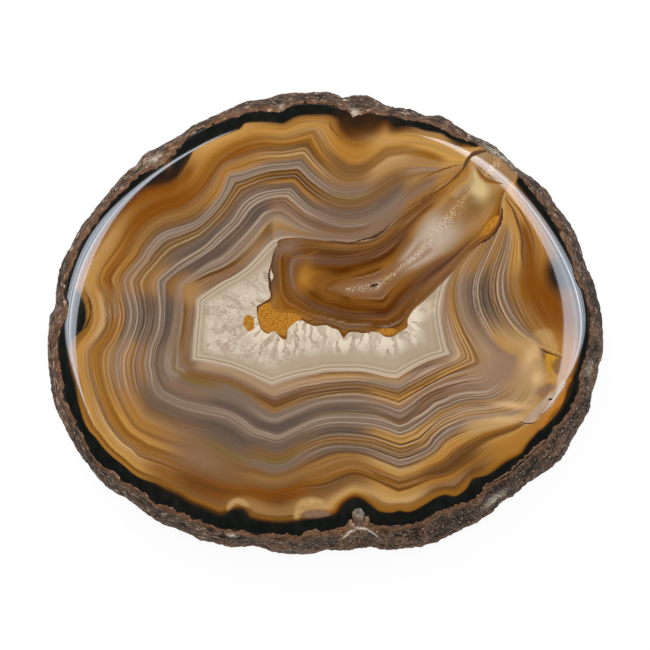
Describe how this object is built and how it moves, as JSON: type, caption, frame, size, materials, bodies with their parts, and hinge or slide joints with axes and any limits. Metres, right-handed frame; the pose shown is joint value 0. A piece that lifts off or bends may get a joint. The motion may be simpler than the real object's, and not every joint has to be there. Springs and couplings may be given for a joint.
{
  "type": "polished agate slice",
  "caption": "Thick oval slab of banded agate with a polished, rolled-edge face, a rough outer rind and a flat sawn back to lie on.",
  "frame": {"origin": "centre of the slice's bounding box, on the plane of its flat sawn back", "axes": "+X along the slice's longer side, +Y across it, +Z out of the polished face"},
  "size_m": [0.1198, 0.1012, 0.02],
  "materials": {
    "agate": "polished"
  },
  "bodies": {
    "root": {"agate_slice": "agate"}
  },
  "joints": []
}
